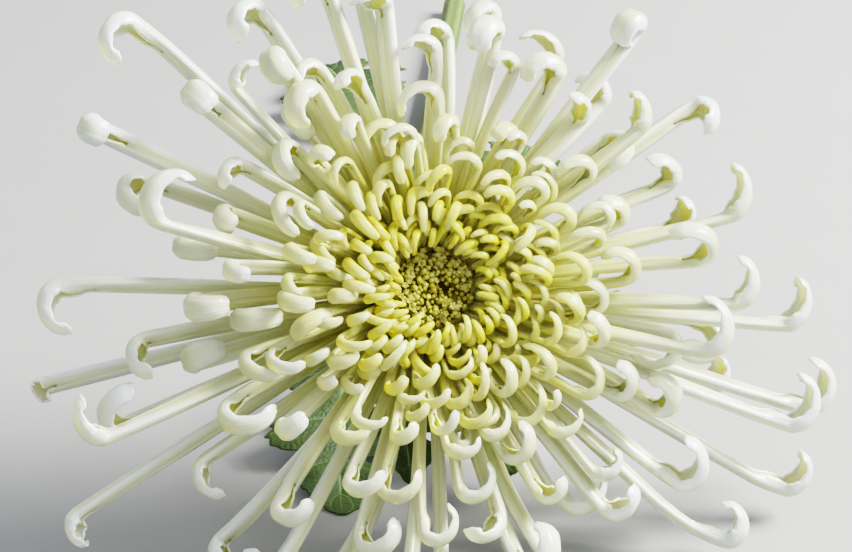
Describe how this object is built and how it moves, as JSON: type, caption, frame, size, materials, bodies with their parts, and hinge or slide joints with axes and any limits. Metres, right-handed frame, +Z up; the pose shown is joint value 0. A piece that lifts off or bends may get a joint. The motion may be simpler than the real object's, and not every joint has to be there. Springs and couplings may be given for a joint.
{
  "type": "spider chrysanthemum",
  "caption": "Cut spider chrysanthemum lying on its side: tubular hooked ray florets round a small disc, green bracts, ribbed curved stem and lobed leaves.",
  "frame": {"origin": "centre of the flower's bounding box, at the height of the table that it lies on", "axes": "+Z up from the table, +Y back along the stem towards its cut end, the bloom faces -Y and up"},
  "size_m": [0.1388, 0.2591, 0.0944],
  "materials": {
    "ray_floret": "soft satin, white outside, cream and greenish white along the hooks, yellow towards the centre",
    "disc_floret": "matt olive yellow grains with dark gaps",
    "bract": "matt green with pale papery edges",
    "stem": "satin green, ribbed lengthwise, finely hairy",
    "leaf": "satin dark green above, paler and downy below, with raised veins"
  },
  "bodies": {
    "root": {"ray_florets": "ray_floret", "disc_florets": "disc_floret", "involucre": "bract", "stem": "stem", "leaf_1": "leaf", "leaf_2": "leaf", "leaf_3": "leaf", "leaf_4": "leaf", "leaf_5": "leaf", "leaf_6": "leaf"}
  },
  "joints": []
}
